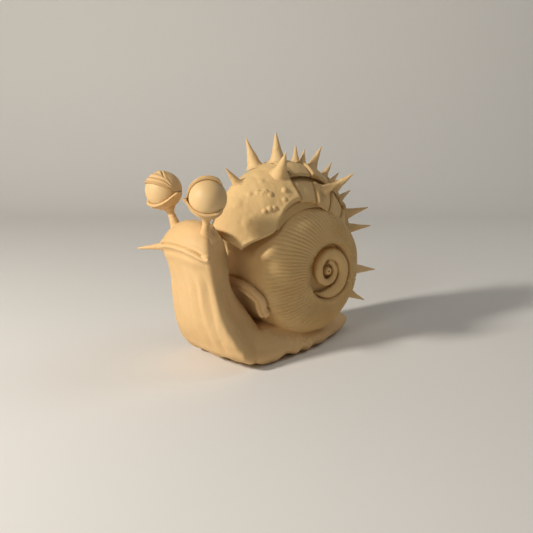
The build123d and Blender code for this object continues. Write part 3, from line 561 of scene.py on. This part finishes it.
def make_body():
    points, faces = fused([neck_mesh(), foot_mesh()], BODY_VOXEL)
    points = relax(points, faces, rounds=14, share=0.5)
    normal = normals_of(points, faces)
    facing = -normal[:, 1]
    x, y, z = points.T
    from_middle = np.abs(x)
    around = np.degrees(np.arctan2(x, -y))

    # Thin mouth line over a rolled lower lip, deepest at the corners, with an undercut chin
    over_mouth = z - np.interp(from_middle, *MOUTH_LINE.T)
    line_depth = MOUTH_DEPTH + MOUTH_CORNER_DEPTH * ramp(from_middle, *MOUTH_CORNER)
    lips = hills(over_mouth, LIP_FORMS) - line_depth * hill(over_mouth, *MOUTH_GROOVE)
    face = ramp(facing, -0.1, 0.35) * ramp(-y, *FACE_START)
    push = lips * face * (1 - ramp(from_middle, *MOUTH_END))

    # Long folds down the front of the neck, broken up here and there, and fine streaks
    folds = hills(x + FOLD_LEAN * (z - FOLD_LEAN_HEIGHT), NECK_FOLDS)
    folds = folds * (0.62 + 0.45 * noise(points * (1, 1, 0.6), 9.0, 6))
    push = push + folds * ramp(facing, 0.1, 0.6) * between(z, *FOLD_SPANS)
    streaks = noise(points * (1, 1, 0.16), 2.2, 1)
    push = push + STREAK_DEPTH * streaks * between(z, *STREAK_SPANS)
    push = push + noises(points, SKIN_NOISE)

    # Lobes of the hem, with small warts over it on the left side
    lobes = np.interp(around, *HEM_LOBES.T) + 0.30 * noise(points, 3.4, 4)
    push = push + lobes * hill(z, *HEM_SPREAD)
    warts = ramp(noise(points, 1.6, 5), 0.25, 0.75) * hill(around, 86, 14) * hill(z, 5.0, 2.2)
    push = push + WART_DEPTH * warts * ramp(x, 8, 12)
    points = points + normal * push[:, None]

    # Hem tucked in near the ground, where it looks lifted, and a flat sole
    reach = np.hypot(points[:, 0], points[:, 1])
    tuck = hills(around, HEM_LIFTS) * (1 - ramp(points[:, 2], 0.8, 2.6)) * ramp(reach, 14, 22)
    points[:, :2] = points[:, :2] * (1 - tuck / np.maximum(reach, 1))[:, None]
    points[:, 2] = np.maximum(points[:, 2], 0)
    points = relax(points, faces, rounds=1, share=0.3)
    points[:, 2] = np.where(points[:, 2] < 0.12, 0, points[:, 2])
    piece("snail_body", points, faces, "body", "skin")


# Round pieces along a line: stalks, feelers, spikes and the collar

def frame_at(direction):
    """Unit direction and two more that are square to it."""
    direction = np.asarray(direction, float) / np.linalg.norm(direction)
    helper = np.array([0, 0, 1.0]) if abs(direction[2]) < 0.9 else np.array([1.0, 0, 0])
    first = np.cross(helper, direction)
    first = first / np.linalg.norm(first)
    return direction, first, np.cross(direction, first)


def turned_rings(origin, direction, heights, radii, bend=0.0, columns=40):
    """Rings of given radii at heights along a direction, with the far end bent aside."""
    axis, first, second = frame_at(direction)
    angle = np.linspace(0, 2 * math.pi, columns, endpoint=False)
    circle = np.cos(angle)[:, None] * first + np.sin(angle)[:, None] * second
    heights = np.asarray(heights, float)
    aside = bend * (heights / heights[-1]) ** 2
    middle = origin + heights[:, None] * axis + aside[:, None] * first
    return middle[:, None, :] + np.asarray(radii)[:, None, None] * circle


def swept_rings(path, radii, up, section_of=np.ones_like, columns=40):
    """Rings along a path; section_of gives the share of the radius at each angle round them."""
    along = np.gradient(path, axis=0)
    along = along / np.linalg.norm(along, axis=1, keepdims=True)
    first = np.cross(up, along)
    first = first / np.linalg.norm(first, axis=1, keepdims=True)
    second = np.cross(along, first)
    angle = np.linspace(0, 2 * math.pi, columns, endpoint=False)
    circle = np.cos(angle)[:, None] * first[:, None, :] + np.sin(angle)[:, None] * second[:, None, :]
    reach = radii[:, None] * section_of(angle)
    return path[:, None, :] + reach[..., None] * circle


def rough_rings(rings, kind, seed_step=0):
    """Rings with the uneven skin of a kind of piece."""
    depth, size, seed = RING_NOISE[kind]
    out = rings - rings.mean(axis=1, keepdims=True)
    length = np.maximum(np.linalg.norm(out, axis=2, keepdims=True), 1e-9)
    wobble = noises(rings, [(depth, size, seed + seed_step)])[..., None]
    return rings + out / length * wobble * np.clip(length, 0, 1)


def make_stalk(name, side):
    """Stalk with a flared foot, a cup under the eye and fine creases."""
    foot = STALK_PLACE * (side, 1, 1)
    reach = EYE_PLACE * (side, 1, 1) - foot
    length = np.linalg.norm(reach) - EYEBALL_RADIUS + STALK_OVERLAP
    heights = np.linspace(-STALK_ROOT, length, STALK_ROWS)
    share = heights / length
    radii = STALK_RADIUS + STALK_FLARE * np.exp(-np.maximum(share + 0.1, 0) / 0.17)
    radii = radii + STALK_CUP * ramp(share, 0.66, 1.0) + hills(share, STALK_CREASES)
    rings = rough_rings(turned_rings(foot, reach, heights, radii), "stalk", side)
    points, faces = tube_mesh(rings)
    piece(f"stalk_{name}", points, faces, f"eye_stalk_{name}", "skin")


def make_feeler(name, side):
    """Feeler with a flared root and a rounded tip."""
    turn, droop = math.radians(FEELER_TURN), math.radians(FEELER_DROOP)
    level = math.cos(droop)
    direction = (side * math.sin(turn) * level, -math.cos(turn) * level, -math.sin(droop))
    length, tip_rise = FEELERS[name]
    heights = np.linspace(-FEELER_ROOT, length, FEELER_ROWS)
    share = np.clip(heights / length, 0, 1)
    radii = FEELER_RADIUS * (1 - 0.80 * share ** 0.9) + 0.6 * np.exp(-np.maximum(heights, 0) / 0.9)
    radii = radii * quarter_round((1 - share) / 0.06, 0.02)
    root = FEELER_PLACE * (side, 1, 1)
    rings = turned_rings(root, direction, heights, radii, columns=FEELER_COLUMNS)
    rings[..., 2] += (tip_rise * share ** 2)[:, None]
    points, faces = tube_mesh(rough_rings(rings, "feeler", side))
    piece(f"feeler_{name}", points, faces, f"feeler_{name}", "skin")


def armour_surface(angle, side_angle, lift):
    """Points of the armour and the directions square to it, at single angles or arrays of them."""
    turn, across = np.radians(angle), np.radians(side_angle)
    zero = np.zeros(np.broadcast(turn, across).shape)
    ahead = np.stack([zero, zero - np.cos(turn), zero + np.sin(turn)], -1)
    radius = ARMOUR_RADIUS - PLATE_DROP + lift
    half_width = ARMOUR_HALF_WIDTH - PLATE_DROP + lift
    spot = ARMOUR_CENTER + ahead * (radius * np.cos(across))[..., None]
    spot[..., 0] += half_width * np.sin(across)
    square = ahead * (np.cos(across) / radius)[..., None]
    square[..., 0] += np.sin(across) / half_width
    return spot, square / np.linalg.norm(square, axis=-1, keepdims=True)


def wheel_spot(angle, side_share):
    """Point on the wheel's rim and the direction square to it."""
    turn = math.radians(angle)
    ahead = np.array([0, -math.cos(turn), math.sin(turn)])
    aside = np.array([1.0, 0, 0])
    out_share = (1 - abs(side_share) ** WHEEL_SQUARENESS) ** (1 / WHEEL_SQUARENESS)
    spot = WHEEL_CENTER + ahead * WHEEL_RADIUS * out_share + aside * WHEEL_HALF_WIDTH * side_share
    power = WHEEL_SQUARENESS - 1
    slope = math.copysign(abs(side_share) ** power, side_share) / WHEEL_HALF_WIDTH
    square = ahead * (out_share ** power / WHEEL_RADIUS) + aside * slope
    return spot, square / np.linalg.norm(square)


def make_spike(name, spot, square, size, seed):
    """Cone with a flared root, a slight bend and a rounded tip."""
    radius, length = SPIKE_SIZES[size]
    share = np.linspace(0, 1, SPIKE_ROWS) ** 1.2
    radii = radius * (0.93 * (1 - share) ** 1.08 + 0.30 * np.exp(-share / 0.05)) + 0.16
    radii = radii * quarter_round((1 - share) / 0.025, 0.02)
    heights = share * (length + SPIKE_ROOT) - SPIKE_ROOT
    bend = SPIKE_BEND * math.sin(seed * 1.7)
    rings = turned_rings(spot, square, heights, radii, bend, SPIKE_COLUMNS)
    points, faces = tube_mesh(rough_rings(rings, "spike", seed))
    piece(name, points, faces, name, "spike")


def make_spikes():
    spikes = []
    for name, (angle, side_angle, size, upright) in HOOD_SPIKES.items():
        spot, square = armour_surface(angle, side_angle, PLATE_DROP)
        spikes.append((f"hood_spike_{name}", spot, square + np.array([0, 0, upright]), size))
    for count, (angle, side_angle, size) in enumerate(KEEL_SPIKES, start=1):
        place = armour_surface(angle, side_angle, KEEL_RISE)
        spikes.append((f"keel_spike_{count}", *place, size))
    for name, side in SIDES.items():
        places = [
            (*armour_surface(angle, side * side_angle, lift), size)
            for angle, side_angle, size, lift in SIDE_SPIKES]
        places += [
            (*wheel_spot(angle, side * side_share), size)
            for angle, side_share, size in WHEEL_SPIKES]
        for count, place in enumerate(places, start=1):
            spikes.append((f"{name}_spike_{count}", *place))
    for seed, spike in enumerate(spikes, start=1):
        make_spike(*spike, seed)


def make_collar():
    """Roll of skin round the front of the wheel, grooved along its length."""
    stops = COLLAR_PATH + [(-share, angle) for share, angle in COLLAR_PATH[-2::-1]]
    spots = []
    for share, angle in stops:
        spot, square = wheel_spot(angle, share * COLLAR_HALF_WIDTH / WHEEL_HALF_WIDTH)
        spots.append(spot + square * COLLAR_LIFT)
    path = open_curve(spots, COLLAR_ROWS)
    up = path - WHEEL_CENTER
    up = up / np.linalg.norm(up, axis=1, keepdims=True)
    share = np.linspace(0, 1, len(path))
    radii = COLLAR_RADIUS * quarter_round(np.minimum(share, 1 - share) / 0.035, 0.001)

    def section_of(angle):
        return 1 - 0.34 * hill(np.cos(angle - 1.35), 1, 0.10) + 0.10 * np.cos(2 * angle - 0.4)

    rings = swept_rings(path, radii, up, section_of, COLLAR_COLUMNS)
    points, faces = tube_mesh(rough_rings(rings, "collar"))
    piece("mantle_collar", points, faces, "mantle_collar", "skin")


# Eyes

def make_eyeball(name, side):
    """Ball with a flat over the stalk and a blind bore for its peg."""
    center = EYE_PLACE * (side, 1, 1)
    axis = center - STALK_PLACE * (side, 1, 1)
    flat = EYEBALL_RADIUS - EYE_FLAT_DEPTH
    angle = np.linspace(math.acos(-flat / EYEBALL_RADIUS), 0.02, EYE_ROWS)
    heights = np.concatenate([[EYE_BORE_END, -flat], EYEBALL_RADIUS * np.cos(angle)])
    radii = np.concatenate([[EYE_BORE_RADIUS, EYE_BORE_RADIUS], EYEBALL_RADIUS * np.sin(angle)])
    points, faces = tube_mesh(turned_rings(center, axis, heights, radii, columns=EYE_COLUMNS))
    out = points - center
    length = np.linalg.norm(out, axis=1, keepdims=True)
    on_ball = length[:, 0] > EYEBALL_RADIUS * 0.99
    push = np.where(on_ball, 0.03 * noise(points, 3.0, 81) - 0.03, 0)
    points = points + push[:, None] * out / length
    piece(f"eye_{name}", points, faces, f"eyeball_{name}", "eye", body=f"eye_{name}")


def lid_mesh(name, kind):
    """Lid as a thin peel of a ball, about the line through the eye's corners.

    Rows of its grids go from corner to corner, and columns from the rolled rim to the back.
    """
    side, flip = SIDES[name], LID_FLIPS[kind]
    opening, corner, rim, folds = LIDS[name][kind]
    center = EYE_PLACE * (side, 1, 1)
    look = math.radians(EYE_TURN[name])
    aside = np.array([math.cos(look), math.sin(look), 0])
    ahead = np.array([math.sin(look), -math.cos(look), 0])
    up = np.array([0, 0, flip])
    phi = np.linspace(0.02, math.pi - 0.02, LID_ROWS)[:, None]
    past = (LID_BACK - opening) * np.linspace(0, 1, LID_COLUMNS)[None, :] ** 1.2
    turn_up = np.radians(opening + past)
    arc = np.cos(turn_up)[..., None] * ahead + np.sin(turn_up)[..., None] * up
    direction = np.cos(phi)[..., None] * aside + np.sin(phi)[..., None] * arc
    middle = np.sin(phi)
    from_corner = phi if side < 0 else math.pi - phi

    # Thickness: rolled rim, folds that wander along the lid, a notch in one lid, thin ends
    thick = LID_THICKNESS + rim * hill(past, *LID_ROLL) * middle ** 0.5
    for place, depth, width in folds:
        along_fold = place + FOLD_WANDER * np.sin(3 * phi)
        thick = thick + depth * hill(past, along_fold, width) * middle
    if (name, kind) == NOTCHED_LID:
        from_notch = phi - NOTCH_PLACE - NOTCH_LEAN * (past - NOTCH_MIDDLE)
        notch = hills(from_notch, NOTCH_FORMS) * between(past, *NOTCH_SPANS)
        thick = np.maximum(thick + notch, LID_THINNEST)
    thick = thick * (0.30 + 0.70 * ramp(middle, 0.0, 0.45))

    # Pointed corner on the inner side; the outer end of the lid sinks into the ball
    tip = corner * np.exp(-(from_corner / CORNER_SIZE) ** 1.5)
    shown = ramp(math.pi - from_corner, *SUNK_END)
    sunk = 1 - shown
    edge = quarter_round(past / LID_EDGE, 0.03)
    lift = LID_LIFT * middle
    base = EYEBALL_RADIUS + LID_CLEARANCE
    outer = base + (lift + (thick - lift) * edge + tip) * shown - SUNK_OUTSIDE * sunk
    inner = base + lift * (1 - edge) * shown + tip * CORNER_INSIDE - SUNK_INSIDE * sunk
    outer_spots = center + direction * outer[..., None]
    seed = LID_SEED + flip + 5 * side
    wobble = noises(outer_spots, [(LID_NOISE_DEPTH, LID_NOISE_SIZE, seed)])
    outer_spots = outer_spots + direction * wobble[..., None]
    inner_spots = center + direction * inner[..., None]

    # Columns of an upper lid are turned round, so that faces look outward
    return slab_mesh(outer_spots[:, ::-flip], inner_spots[:, ::-flip])


def make_lids(name):
    for kind in LIDS[name]:
        lid = f"{kind}_lid_{name}"
        points, faces = lid_mesh(name, kind)
        piece(lid, points, faces, lid, "skin", body=f"eye_{name}")


# Shell

def make_wheel():
    """Wheel with smooth front and back, and on each flank a dished recess and swept ribs."""
    around = np.linspace(0, 2 * math.pi, WHEEL_ROWS, endpoint=False)[:, None]
    across = np.radians(np.linspace(-WHEEL_SPAN, WHEEL_SPAN, WHEEL_COLUMNS))[None, :]
    power = 2 / WHEEL_SQUARENESS
    out = WHEEL_RADIUS * np.abs(np.cos(across)) ** power + 0 * around
    aside = WHEEL_HALF_WIDTH * np.sign(across) * np.abs(np.sin(across)) ** power + 0 * around
    points = np.stack([aside, -out * np.cos(around), out * np.sin(around)], -1)
    behind = points[..., 1] + WHEEL_CENTER[1] - SPIRE_CENTER[1]
    above = points[..., 2] + WHEEL_CENTER[2] - SPIRE_CENTER[2]
    from_spire = np.hypot(behind, above)
    turn = np.arctan2(above, -behind)

    # Ribs that sweep out from the recess, uneven, weaker high on the front and gone at the rim
    lean = RIB_LEAN * np.sin(turn) * np.clip(from_spire - RECESS_RADIUS, 0, None)
    phase = RIB_COUNT * (turn + lean) + noises(points, RIB_DRIFT)
    rib = np.abs(np.sin(phase / 2)) ** 0.6 - RIB_LEVEL
    strength = RIB_STRENGTH + noises(points, RIB_PATCHES)
    strength = strength - RIB_FADE * np.sin(turn) * (np.cos(turn) > 0)
    strength = strength * ramp(from_spire - RECESS_RADIUS, *RIB_START)
    strength = strength * (1 - ramp(out / WHEEL_RADIUS, *RIB_END))

    # Recess, deeper than the spire's disc needs, and a low lip round it
    wall = ramp(from_spire, RECESS_RADIUS - 0.9, RECESS_RADIUS + 0.1)
    recess = (RECESS_DEPTH + RECESS_SPARE) * (1 - wall)
    lip = 0.30 * hill(from_spire, RECESS_RADIUS + 0.8, 0.7)
    relief = np.sign(aside) * (RIB_DEPTH * strength * rib - recess + lip)

    grown = points * (1 + noises(points, WHEEL_NOISE)[..., None] / LUMP_REACH)
    grown[..., 0] += relief * ramp(np.abs(aside), 6, 14)
    mesh_points, faces = tube_mesh(np.transpose(grown + WHEEL_CENTER, (1, 0, 2)))
    piece("shell_wheel", mesh_points, faces, "shell_wheel", "shell")


def make_spire(name, side):
    """Coil that winds in from a pointed outer end round a sunken knob, on a thin disc."""
    out = np.array([side, 0, 0])
    center = SPIRE_CENTER + out * (WHEEL_HALF_WIDTH - RECESS_DEPTH)
    turns = SPIRE_COIL[:, 0]
    degrees = np.linspace(turns[0], turns[-1], SPIRE_ROWS)
    reach, radii, rise = smooth_through(degrees, turns, SPIRE_COIL[:, 1:]).T
    angle = np.radians(degrees)
    path = center + np.stack([rise * side, reach * np.cos(angle), reach * np.sin(angle)], -1)
    rings = swept_rings(path, radii, np.broadcast_to(out, path.shape))
    coil = tube_mesh(rough_rings(rings, "spire", side))
    disc_heights, disc_gaps = SPIRE_DISC.T
    disc = tube_mesh(turned_rings(center, out, disc_heights, RECESS_RADIUS - disc_gaps, columns=64))
    knob = tube_mesh(turned_rings(center, out, *SPIRE_KNOB.T, columns=32))
    points, faces = fused([coil, disc, knob], SPIRE_VOXEL)
    points = relax(points, faces, rounds=2, share=0.4)
    piece(f"spire_{name}", points, faces, f"spire_{name}", "shell")


# Armour: thick patches of the arched surface, with rounded edges

def armour_patch(angle, side_angle, lift):
    """Grid of armour points, with directions square to it and distances from its edge and front."""
    spot, square = armour_surface(angle, side_angle, lift)
    along = np.linalg.norm(np.diff(spot, axis=0), axis=2)
    across = np.linalg.norm(np.diff(spot, axis=1), axis=2)
    from_front = np.pad(np.cumsum(along, axis=0), ((1, 0), (0, 0)))
    from_side = np.pad(np.cumsum(across, axis=1), ((0, 0), (1, 0)))
    edge = np.minimum.reduce([
        from_front, from_front[-1:] - from_front, from_side, from_side[:, -1:] - from_side])
    return spot, square, edge, from_front


def armour_piece(name, spot, square, edge, push, thickness, rounding):
    """Thick piece from a grid, pushed out in places, with its edges rounded over a width."""
    fall = 1 - quarter_round(edge / rounding)
    outer = spot + square * (push - fall * thickness * 0.5)[..., None]
    inner = spot - square * (thickness * (1 - 0.45 * fall))[..., None]
    points, faces = slab_mesh(outer, inner)
    piece(name, points, faces[:, ::-1], name, "armour")


def make_hood():
    back = np.linspace(0, 1, HOOD_ROWS)
    across = np.linspace(-1, 1, HOOD_COLUMNS)
    lip_side, lip_angle = HOOD_LIP.T
    lip = smooth_through(np.abs(across) * lip_side[-1], lip_side, lip_angle)
    rim_angle, rim_side = HOOD_RIM.T
    rim = smooth_through(rim_angle[0] + back * (rim_angle[-1] - rim_angle[0]), rim_angle, rim_side)
    angle = lip + back[:, None] * (PLATE_ANGLES[0] - lip)
    spot, square, edge, _ = armour_patch(angle, across * rim[:, None], PLATE_DROP)
    push = noises(spot, HOOD_NOISE) - HOOD_SINK + hills(edge, [HOOD_BEAD])
    for bump_angle, bump_side, height, width in HOOD_BUMPS:
        middle, _ = armour_surface(bump_angle, bump_side, PLATE_DROP)
        gap = np.linalg.norm(spot - middle, axis=-1)
        push = push + height * np.exp(-(gap / width) ** 3)
    armour_piece("hood", spot, square, edge, push, HOOD_THICKNESS, HOOD_ROUNDING)


def make_plate(name, angle, side_angle, lift, seed):
    """Plate with a raised front edge and a surface that falls towards its back."""
    angle, side_angle = np.broadcast_arrays(angle, side_angle)
    spot, square, edge, from_front = armour_patch(angle, side_angle, lift)
    push = noises(spot, [(0.22, 5.0, seed), (0.08, 1.8, seed + 1)]) - PLATE_SINK
    push = push + hills(from_front, [PLATE_BEAD]) - PLATE_FALL * ramp(from_front, *PLATE_FALL_SPAN)
    armour_piece(name, spot, square, edge, push, PLATE_THICKNESS, PLATE_ROUNDING)


def make_plates():
    keel = np.linspace(-KEEL_SIDE, KEEL_SIDE, KEEL_COLUMNS)
    share = np.linspace(0, 1, SCUTE_COLUMNS)
    for row, (first, last) in enumerate(zip(PLATE_ANGLES, PLATE_ANGLES[1:])):
        angle = np.linspace(first + PLATE_GAP, last - PLATE_GAP, PLATE_ROWS)
        make_plate(f"keel_plate_{row + 1}", angle[:, None], keel, KEEL_RISE, KEEL_SEED + row)
        rim = smooth_through(angle, *PLATE_RIM.T)
        scute = SCUTE_SIDE + share * (rim[:, None] - SCUTE_SIDE)
        for name, side in SIDES.items():
            side_angle = side * scute[:, ::side]
            seed = SCUTE_SEED + row + 10 * side
            make_plate(f"scute_{name}_{row + 1}", angle[:, None], side_angle, 0, seed)


# Stage, light and camera

def make_stage():
    """Pale floor that curves up into a backdrop behind the snail as the camera sees it."""
    profile = [(STAGE_NEAR, 0), (STAGE_FAR, 0)]
    for step in range(1, STAGE_STEPS + 1):
        turn = math.radians(90 * step / STAGE_STEPS)
        profile.append((
            STAGE_FAR + STAGE_CURVE * math.sin(turn), STAGE_CURVE - STAGE_CURVE * math.cos(turn)))
    profile.append((STAGE_FAR + STAGE_CURVE, STAGE_TOP))
    azimuth = math.radians(CAMERA_AZIMUTH)
    away = np.array([-math.sin(azimuth), math.cos(azimuth), 0])
    aside = np.array([math.cos(azimuth), math.sin(azimuth), 0])
    up = np.array([0, 0, 1])
    points = [
        away * distance + up * height + aside * width
        for distance, height in profile for width in (-STAGE_HALF_WIDTH, STAGE_HALF_WIDTH)]
    mesh = make_mesh("stage", np.array(points) * MM, grid_faces(len(profile), 2))
    material = bpy.data.materials.new("stage")
    material.use_nodes = True
    shader = material.node_tree.nodes["Principled BSDF"]
    shader.inputs["Base Color"].default_value = (*STAGE_COLOUR, 1)
    shader.inputs["Roughness"].default_value = STAGE_ROUGHNESS
    smooth_object("stage", mesh, material)


def aim(obj, place, target):
    """Light or camera put at a place, towards a target."""
    obj.location = Vector(place) * MM
    obj.rotation_mode = "QUATERNION"
    obj.rotation_quaternion = (Vector(target) - Vector(place)).to_track_quat("-Z", "Y")
    bpy.context.scene.collection.objects.link(obj)


def make_lights():
    for name, (place, size, power, colour) in LIGHTS.items():
        data = bpy.data.lights.new(name, "AREA")
        data.shape = "DISK"
        data.size = size * MM
        data.energy = power
        data.color = colour
        aim(bpy.data.objects.new(name, data), place, LIGHT_TARGET)
    world = bpy.data.worlds.new("studio")
    world.use_nodes = True
    background = world.node_tree.nodes["Background"]
    background.inputs["Color"].default_value = (1, 1, 1, 1)
    background.inputs["Strength"].default_value = WORLD_STRENGTH
    bpy.context.scene.world = world


def make_camera():
    data = bpy.data.cameras.new("camera")
    data.angle = math.radians(CAMERA_ANGLE)
    data.clip_start, data.clip_end = 0.01, 10
    azimuth, elevation = math.radians(CAMERA_AZIMUTH), math.radians(CAMERA_ELEVATION)
    level = math.cos(elevation)
    back = np.array([math.sin(azimuth) * level, -math.cos(azimuth) * level, math.sin(elevation)])
    camera = bpy.data.objects.new("camera", data)
    aim(camera, CAMERA_TARGET + CAMERA_DISTANCE * back, CAMERA_TARGET)
    bpy.context.scene.camera = camera
    bpy.context.scene.view_settings.view_transform = "Standard"


make_body()
for side_name, side_sign in SIDES.items():
    make_stalk(side_name, side_sign)
    make_feeler(side_name, side_sign)
    make_eyeball(side_name, side_sign)
    make_lids(side_name)
    make_spire(side_name, side_sign)
make_collar()
make_wheel()
make_hood()
make_plates()
make_spikes()
make_stage()
make_lights()
make_camera()
